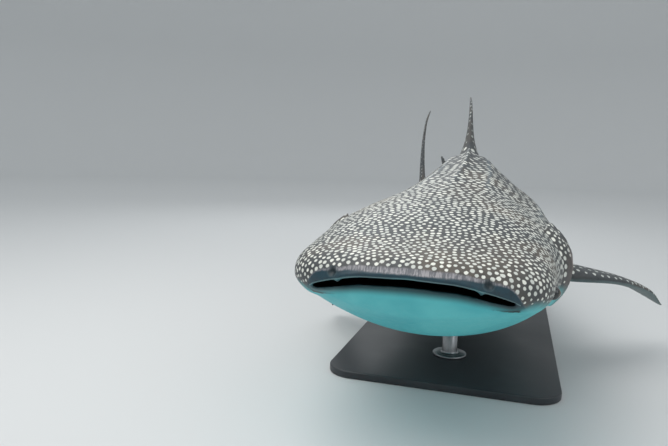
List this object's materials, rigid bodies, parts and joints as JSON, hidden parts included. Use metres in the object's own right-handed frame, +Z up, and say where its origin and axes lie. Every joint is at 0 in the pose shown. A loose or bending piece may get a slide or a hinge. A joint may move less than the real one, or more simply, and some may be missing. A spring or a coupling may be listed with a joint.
{
  "type": "whale shark display model",
  "caption": "Life-size museum model of a spotted whale shark swimming with its mouth slightly open, held on a flat base by two short rods.",
  "frame": {"origin": "middle of the whole model's bounding box, on the floor under the base", "axes": "+Z up, -Y the way the snout points, +X the fish's left"},
  "size_m": [2.1332, 5.751, 1.75],
  "materials": {
    "skin": "matte",
    "eye": "polished",
    "stand_base": "satin",
    "stand_rod": "brushed"
  },
  "bodies": {
    "root": {"head": "skin", "lower_jaw": "skin", "torso_gills": "skin", "torso_front": "skin", "torso_middle": "skin", "torso_rear": "skin", "tail_stock": "skin", "dorsal_fin_first": "skin", "dorsal_fin_second": "skin", "anal_fin": "skin", "pectoral_fin_left": "skin", "pectoral_fin_right": "skin", "pelvic_fin_left": "skin", "pelvic_fin_right": "skin", "caudal_fin_upper": "skin", "caudal_fin_lower": "skin", "eye_left": "eye", "eye_right": "eye", "stand_base": "stand_base", "stand_rod_front": "stand_rod", "stand_rod_rear": "stand_rod"}
  },
  "joints": []
}
